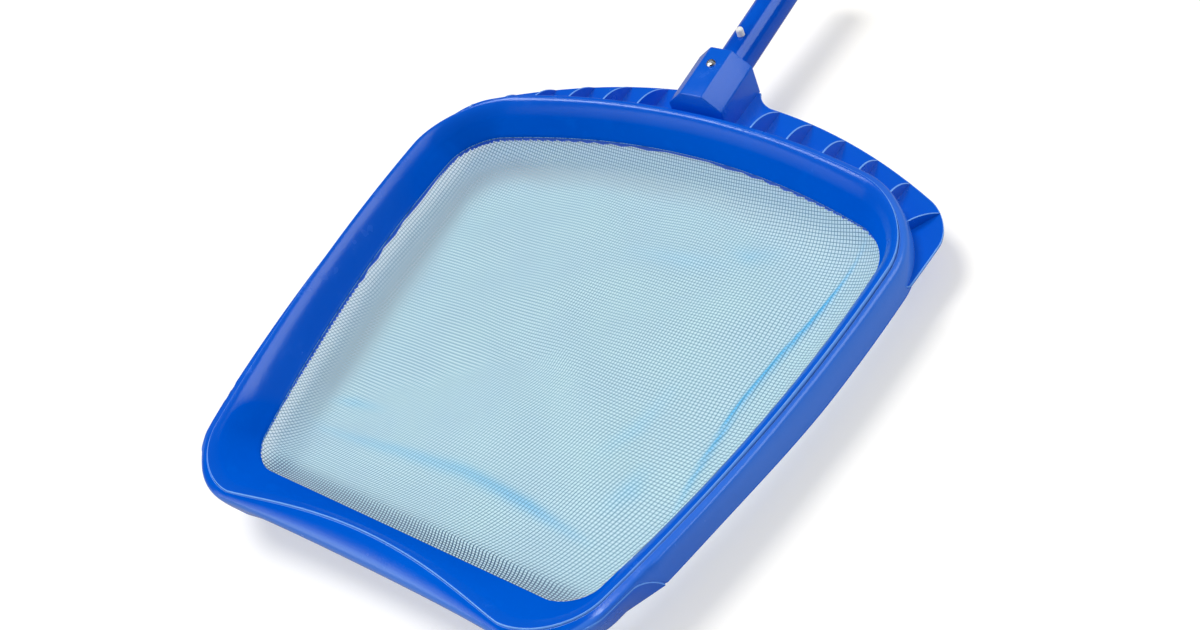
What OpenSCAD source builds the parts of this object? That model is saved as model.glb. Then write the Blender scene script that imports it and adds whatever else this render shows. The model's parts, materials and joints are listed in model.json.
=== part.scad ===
// Leaf skimmer net: the head that slides into a pool pole.
// X runs across the head, Y runs back towards the pole, Z is up. The origin is
// under the middle of the whole piece, on the surface that the net rests on.

/* [Mouth of the net] */
// Length of the mouth, from its front edge to the level of its rear corners
mouth_length = 334; // [280:1:360]
// Width of the mouth along its front edge
mouth_front_width = 287; // [250:1:310]
// Width of the mouth at its rear corners
mouth_rear_width = 385; // [350:1:410]
// How far each side of the mouth bows outwards
side_bow = 14; // [5:0.5:20]
// How far the rear edge of the mouth bows towards the pole
rear_bow = 38; // [25:1:45]

/* [Clamp ring] */
// Width of the ring's slope at the rear corners
ring_side_width = 19.5; // [16:0.5:23]
// Width of the ring's slope in the middle of the rear
ring_rear_width = 17; // [15:0.5:22]
// Width of the ring's slope along the front
ring_front_width = 34; // [30:0.5:38]
// How far the crest swings back in the middle of the front
front_dip = 15.5; // [8:0.5:18]
// Height of the ring's crest above the underside of the frame
crest_height = 29.5; // [26:0.5:33]
// Thickness of the ring's skin
ring_wall = 2.2; // [1.8:0.1:2.8]

/* [Outer frame] */
// How far the outer wall stands out beyond the crest at the sides
wall_reach = 8.5; // [7:0.5:12]
// Thickness of the outer wall
frame_wall = 2.4; // [2:0.1:3]
// Thickness of the plate under the ring
plate_thickness = 1.8; // [1.4:0.1:2.4]
// How far the rear flange reaches past the crest in the middle
flange_reach = 47; // [42:1:52]
// Height of the flange's upper face
flange_height = 8; // [7:0.5:10]
// Thickness of the rear flange
flange_thickness = 2.4; // [2:0.1:3]
// Number of gusset ribs on each half of the flange
ribs_per_side = 6; // [3:1:6]
// Distance from one gusset rib to the next
rib_pitch = 32; // [24:0.5:32]
// Thickness of a gusset rib
rib_thickness = 1.4; // [1:0.1:2]

/* [Scoop lip] */
// How far the lip reaches back along each side of the frame
lip_return = 80; // [60:1:90]
// Thickness of the lip
lip_thickness = 2; // [1.6:0.1:2.4]
// How far the front of the frame leans back from its upper edge to its underside
undercut = 10; // [6:0.5:12]

/* [Net] */
// Depth of the net below the underside of the frame
net_depth = 26; // [22:1:36]
// Thickness of the net as a solid sheet
net_thickness = 0.8; // [0.6:0.1:1.2]
// Width of the hem that the ring grips
hem_width = 7.5; // [6:0.5:7.5]
// Thickness of the hem
hem_thickness = 1.2; // [1:0.1:1.6]

/* [Pole socket] */
// Length of the socket
socket_length = 51; // [45:1:60]
// Width of the socket's flat top
socket_top_width = 19; // [17:0.5:22]
// Width of the socket across its side walls
socket_width = 48; // [44:1:52]
// Height of the socket's top above the tube's centre line
socket_top_height = 25; // [23:0.5:27]
// Height of the side walls' upper edge above the tube's centre line
socket_shoulder_height = 11; // [9:0.5:13]
// Thickness of the socket's walls
socket_wall = 3; // [2.5:0.1:3.5]
// Angle by which the tube rises towards the pole
tube_rise = 5.4; // [3:0.1:7]

/* [Tube] */
// Outer diameter of the tube, which fits inside a pole
tube_diameter = 28.6; // [27.5:0.1:29]
// Wall thickness of the tube
tube_wall = 1.2; // [1:0.1:1.6]
// Length of tube that stands out of the socket
tube_reach = 150; // [110:1:220]

/* [Snap clip] */
// Diameter of each snap button
button_diameter = 6; // [5:0.1:6.4]
// Height of a button above the tube
button_height = 6.5; // [5:0.1:7]
// Distance from the socket's rear face to the buttons
button_distance = 27; // [24:1:40]
// Thickness of the clip's leaf
leaf_thickness = 1.2; // [1:0.1:1.4]
// Width of the clip's leaf
leaf_width = 9; // [8:0.5:11]

/* [Screws] */
// Thread diameter of the small screws under the ring
ring_screw_diameter = 3; // [2.5:0.1:3.5]
// Thread diameter of the screw that locks the tube
socket_screw_diameter = 4; // [3.5:0.1:4.5]
// Distance from the socket's front face to that screw
socket_screw_distance = 34; // [28:1:38]

/* [Hidden] */
$fn = 48;

// Clearances
seat_gap = 0.2;       // between mouldings that lie on each other
tube_gap = 0.1;       // around the tube in its socket
thread_gap = 0.03;    // around a screw in the hole that it cuts
button_gap = 0.3;     // around a button in the tube's hole
groove = 0.8;         // open line between the ring's crest and the outer wall

// Steps in each corner and along each side of an outline, and down a profile
corner_steps = 8;
side_steps = 16;
profile_steps = 6;
stations = 4 * (corner_steps + side_steps);

// Radii of the corners, [front, rear]
mouth_round = [23, 29];
crest_round = [40, 58];
wall_round = [36, 62];
flange_round = [40, 24];
floor_round = [42, 50];

front_corner_trim = 5;    // by which the ring's slope is narrower at the front corners
flange_overhang = 4.5;    // of the flange beyond the wall at the rear corners
floor_front_inset = 60;   // of the net's floor from the front of the mouth
floor_rear_inset = 36;    // from its rear
floor_front_trim = 3;     // by which half the floor is narrower than the mouth at the front
floor_rear_trim = 32;     // and at the rear
floor_dip = 8;

// An outline is a trapezium with bowed sides and round corners, as a list of
// [front y, half the front's width, rear y, half the rear's width,
//  side bow, rear bow, front dip, front corner radius, rear corner radius]
mouth = [-mouth_length / 2, mouth_front_width / 2, mouth_length / 2, mouth_rear_width / 2,
    side_bow, rear_bow, 0, each mouth_round];
crest = [mouth[0] - ring_front_width, mouth[1] + ring_side_width - front_corner_trim,
    mouth[2] + ring_rear_width, mouth[3] + ring_side_width,
    side_bow, rear_bow, front_dip, each crest_round];
wall = [crest[0] - wall_reach * 0.9, crest[1] + wall_reach / 2,
    crest[2] + wall_reach * 0.7, crest[3] + wall_reach,
    side_bow, rear_bow, 0, each wall_round];
flange_bow = rear_bow * 1.9;
flange = [wall[0] + wall_reach, wall[1] - wall_reach,
    crest[2] + rear_bow + flange_reach - flange_bow, wall[3] + flange_overhang,
    side_bow, flange_bow, 0, each flange_round];
net_floor = [mouth[0] + floor_front_inset, mouth[1] - floor_front_trim,
    mouth[2] - floor_rear_inset, mouth[3] - floor_rear_trim,
    0, rear_bow, floor_dip, each floor_round];

function lerp(a, b, t) = a + (b - a) * t;
function ramp(x) = min(max(x, 0), 1);
function grown(c, d) =
    [c[0] - d, c[1] + d, c[2] + d, c[3] + d, c[4], c[5], c[6], c[7] + d, c[8] + d];
function toward(p, q, d) = p + (q - p) / norm(q - p) * d;
function raised(p, z) = [p.x, p.y, z];

// The unit outline runs from -1 to 1 both ways, anticlockwise from the front right corner.
// A corner's round has the size [x, y].
function unit_corner(sx, sy, round, start) = [for (j = [0 : corner_steps - 1])
    let (a = start + 90 * j / corner_steps)
    [sx * (1 - round.x) + round.x * cos(a), sy * (1 - round.y) + round.y * sin(a)]];
function unit_side(p, q) = [for (j = [0 : side_steps - 1]) lerp(p, q, j / side_steps)];
function unit_outline(c) = let (half = (c[2] - c[0]) / 2,
    f = [c[7] / c[1], c[7] / half], r = [c[8] / c[3], c[8] / half]) concat(
    unit_corner(1, -1, f, -90), unit_side([1, f.y - 1], [1, 1 - r.y]),
    unit_corner(1, 1, r, 0), unit_side([1 - r.x, 1], [r.x - 1, 1]),
    unit_corner(-1, 1, r, 90), unit_side([-1, 1 - r.y], [-1, f.y - 1]),
    unit_corner(-1, -1, f, 180), unit_side([f.x - 1, -1], [1 - f.x, -1]));
// The front dips back between the ends of its two corners
function dip(p, c) = let (u = p.x / (1 - c[7] / c[1]))
    c[6] * max(1 - u ^ 2, 0) ^ 1.2 * ramp(-p.y) ^ 2;
function on_outline(p, c) = let (t = (p.y + 1) / 2)
    [p.x * (lerp(c[1], c[3], t) + c[4] * (1 - p.y ^ 2)),
     lerp(c[0], c[2], t) + c[5] * (1 - p.x ^ 2) * t ^ 2 + dip(p, c)];
function outline(c) = [for (p = unit_outline(c)) on_outline(p, c)];
// Where the rear half of an outline lies at a distance x from the middle
function rear_edge(line, x) =
    lookup(x, [for (i = [corner_steps + side_steps : 3 * corner_steps + 2 * side_steps]) line[i]]);

mouth_line = outline(mouth);
crest_line = outline(crest);
wall_line = outline(wall);
flange_line = outline(flange);

// Height of the ring's upper face from the mouth (t = 0) to the crest (t = 1)
hem_top = plate_thickness + hem_thickness;
ring_foot = hem_top + ring_wall;
function ring_top(t) = ring_foot + (crest_height - ring_foot) * sin(90 * t);
ring_drop = ring_wall * 1.35;
foot_width = hem_width * 0.66;

// The outer wall at each station. It stands highest and squarest along the front and
// the rear, and from the lip's end forwards it leans back as it goes down.
lip_end = wall[0] + lip_return;
lip_drop = 4;              // from the crest to the lip's upper edge
lip_height = crest_height - lip_drop;
lip_proud = 0.5;
flap_run = 20;
front_square_run = 130;    // over which the wall grows square towards the front
rear_square_run = 30;      // and towards the rear
lean_run = 33;             // over which the wall begins to lean
rim_drop = 3.5;            // from the crest to the rim at the sides
square_rise = 2;           // of the rim where the wall is square
function squareness(i) = max(
    ramp((lip_end + front_square_run - wall_line[i].y) / front_square_run),
    ramp((wall_line[i].y - wall[2]) / rear_square_run));
function rim_height(i) = crest_height - rim_drop + square_rise * squareness(i);
function lean(i) = undercut * ramp((lip_end - wall_line[i].y) / lean_run);
// A point on the wall's face, shifted outwards. The angle a runs from the rim (0) to
// the foot (90), along a curve between an ellipse and a square corner.
function wall_point(i, a, shift, thickness = 0) =
    let (rim = toward(crest_line[i], wall_line[i], groove),
        reach = norm(wall_line[i] - rim) - thickness,
        curve = 2 / (3 + 3 * squareness(i)),
        z = (rim_height(i) - thickness) * cos(a) ^ curve,
        s = reach * sin(a) ^ curve - lean(i) * (1 - z / rim_height(i)) + shift)
    raised(rim + (wall_line[i] - rim) / norm(wall_line[i] - rim) * s, z);

// A closed profile for each station, joined into a ring around the head. A profile
// runs anticlockwise, seen with the outside of the head to the right.
module ring_solid(profiles) {
    count = len(profiles);
    points = len(profiles[0]);
    polyhedron(
        points = [for (profile = profiles) each profile],
        faces = [for (i = [0 : count - 1]) for (k = [0 : points - 1])
            let (a = i * points, b = (i + 1) % count * points, n = (k + 1) % points)
            each [[a + k, b + n, b + k], [a + k, a + n, b + n]]]);
}

// Level loops stacked from the first to the last, closed with a flat face at each end
module stacked_solid(loops) {
    count = len(loops[0]);
    last = (len(loops) - 1) * count;
    polyhedron(
        points = [for (loop = loops) each loop],
        faces = concat(
            [[for (i = [0 : count - 1]) i]],
            [for (k = [0 : len(loops) - 2]) for (i = [0 : count - 1])
                let (a = k * count, b = a + count, n = (i + 1) % count)
                each [[a + i, b + i, b + n], [a + i, b + n, a + n]]],
            [[for (i = [count - 1 : -1 : 0]) last + i]]));
}

// The tube's centre line starts at the socket's front face
socket_stand_off = 9;    // of the socket behind the crest
socket_lift = 1.4;       // of its underside above the frame's
socket_y = crest[2] + rear_bow + socket_stand_off;
tube_radius = tube_diameter / 2;
tube_z = tube_radius + socket_wall + socket_lift;
tube_end = socket_length + tube_reach;
tube_start = socket_wall + seat_gap;
button_y = socket_length + button_distance;

// The origin is under the middle of the whole piece
front_y = wall[0] - lip_proud;
rear_y = socket_y + tube_end * cos(tube_rise) + tube_radius * sin(tube_rise);
module at_head() {
    translate([0, -(front_y + rear_y) / 2, net_depth]) children();
}
// Along the tube: Y is the tube's centre line, and Z stands up from it
module along_tube() {
    at_head() translate([0, socket_y, tube_z]) rotate([tube_rise, 0, 0]) children();
}
// A round bar along the tube
module bar(radius, from, to) {
    translate([0, from, 0]) rotate([-90, 0, 0]) cylinder(r = radius, h = to - from);
}

// Screws stand at even stations, under the ring
first_screw = 4;
screw_step = 8;
screw_head_radius = ring_screw_diameter * 0.95;
screw_head_height = ring_screw_diameter * 0.6;
screw_grip = 8;
screw_place = 0.7;
pillar_wall = 1.6;
pillar_radius = ring_screw_diameter / 2 + pillar_wall;
module at_screws() {
    for (i = [first_screw : screw_step : stations - 1]) {
        $slope = norm(crest_line[i] - mouth_line[i]);
        translate(lerp(mouth_line[i], crest_line[i], screw_place)) children();
    }
}

frame_blue = [0, 0.3, 0.82];
plate_inset = 1.5;    // of the plate's inner edge from the edge of the mouth

module wall_ring() {
    ring_solid([for (i = [0 : stations - 1])
        let (m = toward(mouth_line[i], crest_line[i], plate_inset),
            thick = frame_wall + (lip_thickness + 2 * seat_gap) * ramp(lean(i) / 2),
            foot = wall_point(i, 90, 0, thick))
        concat(
            [raised(m, plate_thickness), raised(m, 0)],
            [for (k = [profile_steps : -1 : 0]) wall_point(i, 90 * k / profile_steps, 0)],
            [for (k = [0 : profile_steps - 1])
                let (q = wall_point(i, 90 * k / profile_steps, 0, thick))
                raised(q, max(q.z, plate_thickness + 0.1))],
            [raised(foot, plate_thickness)])]);
}

module rear_flange() {
    translate([0, 0, flange_height - flange_thickness]) linear_extrude(flange_thickness)
        difference() {
            union() {
                polygon(flange_line);
                neck_web();
            }
            polygon([for (i = [0 : stations - 1])
                toward(wall_line[i], crest_line[i], frame_wall / 2)]);
        }
}

// The web runs back along the socket and flares into the flange
web_radius = 26;
module neck_web() {
    edge = rear_edge(flange_line, socket_width / 2 + web_radius);
    reach = min(web_radius, socket_y + socket_length - edge);
    difference() {
        translate([-socket_width / 2 - web_radius, socket_y])
            square([socket_width + 2 * web_radius, edge + reach - socket_y]);
        for (side = [-1, 1])
            translate([side * (socket_width / 2 + web_radius), edge + web_radius])
                circle(r = web_radius, $fn = 96);
    }
}

// A rib stands on the flange from the outer wall to the flange's edge
rib_inset = 1;         // from the flange's edge
rib_drop = 1.5;        // from the crest to the rib's upper end
module gusset_rib(x) {
    root = rear_edge(wall_line, x) - frame_wall;
    run = rear_edge(flange_line, x) - rib_inset - root;
    rise = crest_height - rib_drop - flange_height;
    base = flange_height - flange_thickness / 2;
    steps = 8;
    translate([x, root]) rotate([90, 0, 90]) linear_extrude(rib_thickness, center = true)
        polygon(concat([[0, base]],
            [for (k = [0 : steps]) let (u = k / steps)
                [run * u, flange_height + 0.5 + rise * (1 - u ^ 1.6)]],
            [[run, base]]));
}

// The ribs are set out inwards from the flange's rear corners
corner_bay = 13.5;     // from the flange's side to the last rib
module gusset_ribs() {
    for (n = [0 : ribs_per_side - 1], side = [-1, 1])
        gusset_rib(side * (flange[3] - corner_bay - n * rib_pitch));
}

module socket_section(inset) {
    shoulder = socket_width / 2 - inset;
    flat = socket_top_width / 2 - inset * 0.4;
    foot = -tube_radius - socket_wall;
    side_top = socket_shoulder_height - inset * 0.4;
    top = socket_top_height - inset;
    polygon([[-shoulder, foot], [shoulder, foot], [shoulder, side_top],
        [flat, top], [-flat, top], [-shoulder, side_top]]);
}

// The socket is a half octagon outside, with a sleeve for the tube inside
module pole_socket() {
    sleeve = tube_radius + tube_gap + socket_wall * 0.8;
    pillar = socket_screw_diameter / 2 + 2;
    difference() {
        rotate([90, 0, 0]) mirror([0, 0, 1]) linear_extrude(socket_length) socket_section(0);
        translate([0, socket_wall, 0]) rotate([90, 0, 0]) mirror([0, 0, 1])
            linear_extrude(socket_length - 2 * socket_wall) socket_section(socket_wall);
    }
    bar(sleeve, socket_wall / 2, socket_length - socket_wall / 2);
    translate([0, socket_screw_distance, tube_radius])
        cylinder(r = pillar, h = socket_top_height - tube_radius - socket_wall / 2);
}

module outer_frame() {
    color(frame_blue) difference() {
        union() {
            at_head() wall_ring();
            at_head() rear_flange();
            at_head() gusset_ribs();
            along_tube() pole_socket();
        }
        along_tube() bar(tube_radius + tube_gap, socket_wall, socket_length + 1);
        along_tube() translate([0, socket_screw_distance, 0])
            cylinder(d = socket_screw_diameter + 2 * thread_gap, h = socket_top_height + 1);
        at_head() at_screws() translate([0, 0, -1])
            cylinder(d = ring_screw_diameter + 2 * seat_gap, h = plate_thickness + 2);
        at_head() lip_band(seat_gap, frame_wall);
    }
}

module clamp_ring() {
    color(frame_blue) at_head() difference() {
        union() {
            ring_solid([for (i = [0 : stations - 1])
                let (m = mouth_line[i], c = crest_line[i], foot = foot_width / norm(c - m))
                concat(
                    [raised(m, hem_top), raised(lerp(m, c, foot), hem_top)],
                    [for (k = [0 : 3]) let (t = lerp(foot, 1, k / 3))
                        raised(lerp(m, c, t), ring_top(t) - ring_drop)],
                    [for (k = [profile_steps : -1 : 0]) let (t = k / profile_steps)
                        raised(lerp(m, c, t), ring_top(t))])]);
            at_screws() translate([0, 0, plate_thickness]) cylinder(r = pillar_radius,
                h = ring_top(screw_place - pillar_radius / $slope) - plate_thickness - ring_wall / 2);
        }
        at_screws() translate([0, 0, -1])
            cylinder(d = ring_screw_diameter + 2 * thread_gap, h = plate_thickness + screw_grip + 1);
    }
}

// The lip is a band let into the front of the outer wall, from its underside to below
// its upper edge. It ends in a rounded flap on each side. A gap makes it larger.
module lip_band(gap, proud) {
    front = wall[0] - 10;
    top = lip_height + gap;
    flap_y = lip_end - flap_run + gap;
    steps = 8;
    intersection() {
        ring_solid([for (i = [0 : stations - 1])
            let (start = acos((top / rim_height(i)) ^ (1.5 + 1.5 * squareness(i))))
            concat(
                [for (k = [steps : -1 : 0]) wall_point(i, lerp(start, 90, k / steps), proud)],
                [for (k = [0 : steps])
                    wall_point(i, lerp(start, 90, k / steps), -lip_thickness - gap)])]);
        rotate([90, 0, 90]) linear_extrude(4 * wall[3], center = true)
            polygon(concat([[front, -1], [front, top + 1], [flap_y, top + 1]],
                [for (k = [0 : steps]) let (u = k / steps)
                    [flap_y + flap_run * u, top * (1 - u ^ 2)]],
                [[flap_y + flap_run, -1]]));
    }
}

module scoop_lip() {
    color(frame_blue) at_head() lip_band(0, lip_proud);
}

module net_bag() {
    net_line = outline(grown(mouth, -net_thickness));
    outer_floor = outline(net_floor);
    inner_floor = outline(grown(net_floor, -net_thickness));
    color([0.68, 0.85, 0.92]) at_head() stacked_solid([
        [for (p = outer_floor) raised(p, -net_depth)],
        [for (i = [0 : stations - 1])
            raised(lerp(mouth_line[i], outer_floor[i], 0.4), -net_depth * 0.72)],
        [for (p = mouth_line) raised(p, plate_thickness)],
        [for (p = mouth_line) raised(p, hem_top)],
        [for (p = net_line) raised(p, hem_top)],
        [for (i = [0 : stations - 1])
            raised(lerp(net_line[i], inner_floor[i], 0.4), net_thickness - net_depth * 0.72)],
        [for (p = inner_floor) raised(p, net_thickness - net_depth)]]);
}

module net_hem() {
    color([0.6, 0.78, 0.86]) at_head() ring_solid([for (i = [0 : stations - 1])
        let (m = mouth_line[i], edge = toward(m, crest_line[i], hem_width))
        [raised(m, plate_thickness), raised(edge, plate_thickness),
            raised(edge, hem_top), raised(m, hem_top)]]);
}

module ring_screws() {
    color("silver") at_head() at_screws() {
        translate([0, 0, -screw_head_height])
            cylinder(r = screw_head_radius, h = screw_head_height);
        cylinder(d = ring_screw_diameter, h = plate_thickness + screw_grip - 1);
    }
}

module handle_tube() {
    color(frame_blue) along_tube() difference() {
        bar(tube_radius, tube_start, tube_end);
        bar(tube_radius - tube_wall, tube_start - 1, tube_end + 1);
        translate([0, button_y, 0])
            cylinder(d = button_diameter + 2 * button_gap, h = tube_diameter + 2, center = true);
        translate([0, socket_screw_distance, 0])
            cylinder(d = socket_screw_diameter + 2 * thread_gap, h = tube_radius + 1);
    }
}

module socket_screw() {
    head_radius = socket_screw_diameter * 0.95;
    head_height = socket_screw_diameter * 0.6;
    slot_width = socket_screw_diameter * 0.25;
    color("silver") along_tube() translate([0, socket_screw_distance, 0]) difference() {
        union() {
            translate([0, 0, tube_radius - tube_wall - 1.5])
                cylinder(d = socket_screw_diameter, h = socket_top_height - tube_radius + tube_wall + 2);
            translate([0, 0, socket_top_height]) rotate_extrude() polygon([[0, 0], [head_radius, 0],
                [head_radius, head_height * 0.4], [head_radius * 0.8, head_height * 0.82],
                [head_radius * 0.45, head_height], [0, head_height]]);
        }
        for (turn = [0, 90])
            translate([0, 0, socket_top_height + head_height]) rotate([0, 0, turn])
                cube([head_radius * 1.1, slot_width, head_height * 1.1], center = true);
    }
}

// Where a button's foot rests on the leaf, above the tube's centre line
foot_radius = button_diameter / 2 + 1.2;
foot_height = 1.4;
foot_top = sqrt((tube_radius - tube_wall) ^ 2 - foot_radius ^ 2) - 0.4;
leaf_seat = foot_top - foot_height;
bend_radius = 4;
leaf_run = 40;

// The leaf is bent into a V. Its arms end in level pads under the buttons. The path
// runs along the leaf at a depth below its outer face.
function leaf_path(depth) = let (pad = foot_radius + 1, seat = leaf_seat - depth) concat(
    [[button_y + pad, seat], [button_y - pad, seat]],
    [for (a = [90 : 15 : 270])
        [button_y - leaf_run, 0] + (bend_radius - depth) * [cos(a), sin(a)]],
    [[button_y - pad, -seat], [button_y + pad, -seat]]);

module clip_leaf() {
    inner = leaf_path(leaf_thickness);
    color("white") along_tube() rotate([90, 0, 90]) linear_extrude(leaf_width, center = true)
        polygon(concat(leaf_path(0), [for (k = [len(inner) - 1 : -1 : 0]) inner[k]]));
}

module snap_button() {
    dome = button_diameter * 0.3;
    top = tube_radius + button_height;
    radius = button_diameter / 2;
    translate([0, 0, leaf_seat]) cylinder(r = foot_radius, h = foot_height);
    rotate_extrude() {
        translate([0, leaf_seat]) square([radius, top - dome - leaf_seat]);
        translate([0, leaf_seat]) square([radius - dome, top - leaf_seat]);
        translate([radius - dome, top - dome]) intersection() {
            circle(r = dome);
            square(dome);
        }
    }
}

module upper_button() {
    color("white") along_tube() translate([0, button_y, 0]) snap_button();
}

module lower_button() {
    color("white") along_tube() translate([0, button_y, 0]) mirror([0, 0, 1]) snap_button();
}

outer_frame();
clamp_ring();
scoop_lip();
net_bag();
net_hem();
ring_screws();
handle_tube();
socket_screw();
clip_leaf();
upper_button();
lower_button();
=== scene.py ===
import json
import math
from collections import namedtuple

import bmesh
import bpy
import numpy as np
from mathutils import Matrix, Vector

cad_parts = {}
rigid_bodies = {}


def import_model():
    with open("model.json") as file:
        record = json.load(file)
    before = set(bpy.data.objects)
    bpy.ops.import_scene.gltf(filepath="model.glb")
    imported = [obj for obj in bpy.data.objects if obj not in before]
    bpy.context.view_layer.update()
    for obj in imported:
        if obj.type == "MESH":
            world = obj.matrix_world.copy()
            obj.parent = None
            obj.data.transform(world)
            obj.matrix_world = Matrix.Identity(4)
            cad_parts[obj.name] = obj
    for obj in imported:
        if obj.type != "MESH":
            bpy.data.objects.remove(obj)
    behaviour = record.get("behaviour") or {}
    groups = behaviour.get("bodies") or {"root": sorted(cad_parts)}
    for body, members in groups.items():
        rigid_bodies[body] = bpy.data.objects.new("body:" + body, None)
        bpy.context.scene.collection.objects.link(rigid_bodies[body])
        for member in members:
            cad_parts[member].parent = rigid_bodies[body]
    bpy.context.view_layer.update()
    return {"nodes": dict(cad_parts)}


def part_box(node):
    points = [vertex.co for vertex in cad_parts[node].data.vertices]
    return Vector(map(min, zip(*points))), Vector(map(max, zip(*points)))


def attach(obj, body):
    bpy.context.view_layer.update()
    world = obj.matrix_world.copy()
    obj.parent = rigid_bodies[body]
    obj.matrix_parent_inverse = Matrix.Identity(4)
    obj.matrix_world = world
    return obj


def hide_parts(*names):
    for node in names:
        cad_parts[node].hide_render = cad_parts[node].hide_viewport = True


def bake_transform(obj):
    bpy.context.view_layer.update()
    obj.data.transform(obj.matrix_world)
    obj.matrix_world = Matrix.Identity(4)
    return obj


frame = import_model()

bl_info = {
    "name": "Leaf skimmer net",
    "version": (1, 0, 0),
    "blender": (4, 5, 0),
    "location": "3D View > Sidebar > Skimmer",
    "description": "Builds the looks of a pool leaf skimmer around its packed CAD model",
    "category": "Object",
}

# Sizes of the head in millimetres. They are the CAD's, but the wall's front is 2.75 wider on
# each side here and its front corners are 2 rounder. The origin is in the middle of the mouth,
# on the underside of the frame. An outline's front_half and rear_half are half its widths.
Outline = namedtuple("Outline", "front_y front_half rear_y rear_half side_bow rear_bow "
                                "front_dip front_radius rear_radius")
MOUTH = Outline(-167, 143.5, 167, 192.5, 14, 38, 0, 23, 29)
CREST = Outline(-201, 158, 184, 212, 14, 38, 15.5, 40, 58)
WALL = Outline(-208.65, 165, 189.95, 220.5, 14, 38, 0, 38, 62)
FLANGE = Outline(-200.15, 153.75, 196.8, 225, 14, 72.2, 0, 40, 24)
FOLD = Outline(-107, 140.5, 131, 160.5, 0, 38, 8, 42, 50)
CREST_HEIGHT = 29.5
HEM_LOW, HEM_TOP, HEM_WIDTH = 1.8, 3.0, 7.5
RING_FOOT, RING_WALL = 5.2, 2.2
GROOVE, GROOVE_DEPTH = 0.8, 9
FRAME_WALL = 2.4
FLANGE_LOW, FLANGE_TOP = 5.6, 8.0
LIP_END, LIP_TOP, LIP_RUN = -128.65, 25.5, 20
LIP_PROUD, LIP_THICK, LIP_GAP = 0.5, 2.0, 0.8
NET_DEPTH = 26
TUBE_START, TUBE_Z, TUBE_RISE, TUBE_RADIUS = 231, 18.7, math.radians(5.4), 14.3
SOCKET_LENGTH, SOCKET_HALF, WEB_RADIUS = 51, 24, 26
BUTTON_AT = 78
LEAF_SEAT, LEAF_THICK, LEAF_WIDTH, LEAF_RUN, LEAF_PAD, LEAF_BEND = 10.61, 1.2, 9, 40, 5.2, 4
RIB_FIRST, RIB_PITCH, RIBS, RIB_THICK = 51.5, 32, 6, 1.4

# The head's origin in the row frame, in metres, from the places of two CAD nodes
HEAD = np.array([0.0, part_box("clamp_ring")[0].y - CREST.front_y / 1000,
                 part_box("outer_frame")[0].z])

# Stations round each corner of an outline and along each of its sides
CORNER_STEPS, SIDE_STEPS = 22, 34
# How far a loft goes towards the place where its loops would shrink to a line or a point
NEARLY_ALL = 0.9995
# Marks of the painted_sheen_mark attribute: over 0 the plastic is painted paler, a highlight on
# rounded edges and a reflection on the band over the lip, and under 0 it is dull
CREST_HIGHLIGHT, RIM_HIGHLIGHT, LIP_EDGE_HIGHLIGHT, LIP_SHEEN, DULL = 1.0, 0.8, 0.7, 0.3, -0.8


# ---- Outlines and other numbers ----

def mix(a, b, t):
    """The value that lies a share t of the way from a to b."""
    return a + (b - a) * t


def smooth(x, low=0.0, high=1.0):
    """A soft step from 0 at low to 1 at high: three squares less two cubes of the share."""
    t = np.clip((x - low) / (high - low), 0, 1)
    return t * t * (3 - 2 * t)


def unit_outline(shape):
    """A square from -1 to 1 with round corners, anticlockwise from the front right corner."""
    half = (shape.rear_y - shape.front_y) / 2
    front = shape.front_radius / np.array([shape.front_half, half])
    rear = shape.rear_radius / np.array([shape.rear_half, half])

    def corner(sx, sy, size, start):
        # a quarter of an ellipse round the corner's centre, without its last point
        a = np.radians(start + 90 * np.arange(CORNER_STEPS) / CORNER_STEPS)
        return np.stack([sx * (1 - size[0]) + size[0] * np.cos(a),
                         sy * (1 - size[1]) + size[1] * np.sin(a)], 1)

    def side(p, q):
        # even steps from p to q, without q
        t = np.arange(SIDE_STEPS)[:, None] / SIDE_STEPS
        return mix(np.array(p), np.array(q), t)

    return np.concatenate([
        corner(1, -1, front, -90), side([1, front[1] - 1], [1, 1 - rear[1]]),
        corner(1, 1, rear, 0), side([1 - rear[0], 1], [rear[0] - 1, 1]),
        corner(-1, 1, rear, 90), side([-1, 1 - rear[1]], [-1, front[1] - 1]),
        corner(-1, -1, front, 180), side([front[0] - 1, -1], [1 - front[0], -1])])


def outline(shape):
    """The unit outline stretched to a trapezium. Its sides bow outwards by the side bow times
    one less the square of y, its rear by the rear bow times one less the square of x, and the
    middle of its front dips inwards."""
    p = unit_outline(shape)
    t = (p[:, 1] + 1) / 2
    u = p[:, 0] / (1 - shape.front_radius / shape.front_half)
    dip = shape.front_dip * np.maximum(1 - u ** 2, 0) ** 1.2 * np.clip(-p[:, 1], 0, 1) ** 2
    half = mix(shape.front_half, shape.rear_half, t) + shape.side_bow * (1 - p[:, 1] ** 2)
    bow = shape.rear_bow * (1 - p[:, 0] ** 2) * t ** 2
    return np.stack([p[:, 0] * half, mix(shape.front_y, shape.rear_y, t) + bow + dip], 1)


def toward(p, q, distance):
    """Points that lie a distance from p on the way to q."""
    d = q - p
    return p + d / np.linalg.norm(d, axis=1, keepdims=True) * distance


MOUTH_LINE, CREST_LINE, WALL_LINE = outline(MOUTH), outline(CREST), outline(WALL)
FLANGE_LINE, FOLD_LINE = outline(FLANGE), outline(FOLD)
SLOPE = np.linalg.norm(CREST_LINE - MOUTH_LINE, axis=1)[:, None]


def raised(points, z):
    """Plan points with a height, one height for all or one for each."""
    z = np.broadcast_to(z, points.shape[:-1])
    return np.concatenate([points, z[..., None]], -1)


def placed(points):
    """From the head's millimetres to the row frame's metres."""
    return np.asarray(points, float) / 1000 + HEAD


def along_tube(points):
    """Points given as across, along and up from the tube's centre line, in the head's frame."""
    p = np.asarray(points, float)
    c, s = math.cos(TUBE_RISE), math.sin(TUBE_RISE)
    return np.stack([p[..., 0], TUBE_START + p[..., 1] * c - p[..., 2] * s,
                     TUBE_Z + p[..., 1] * s + p[..., 2] * c], -1)


# ---- Meshes ----

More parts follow.
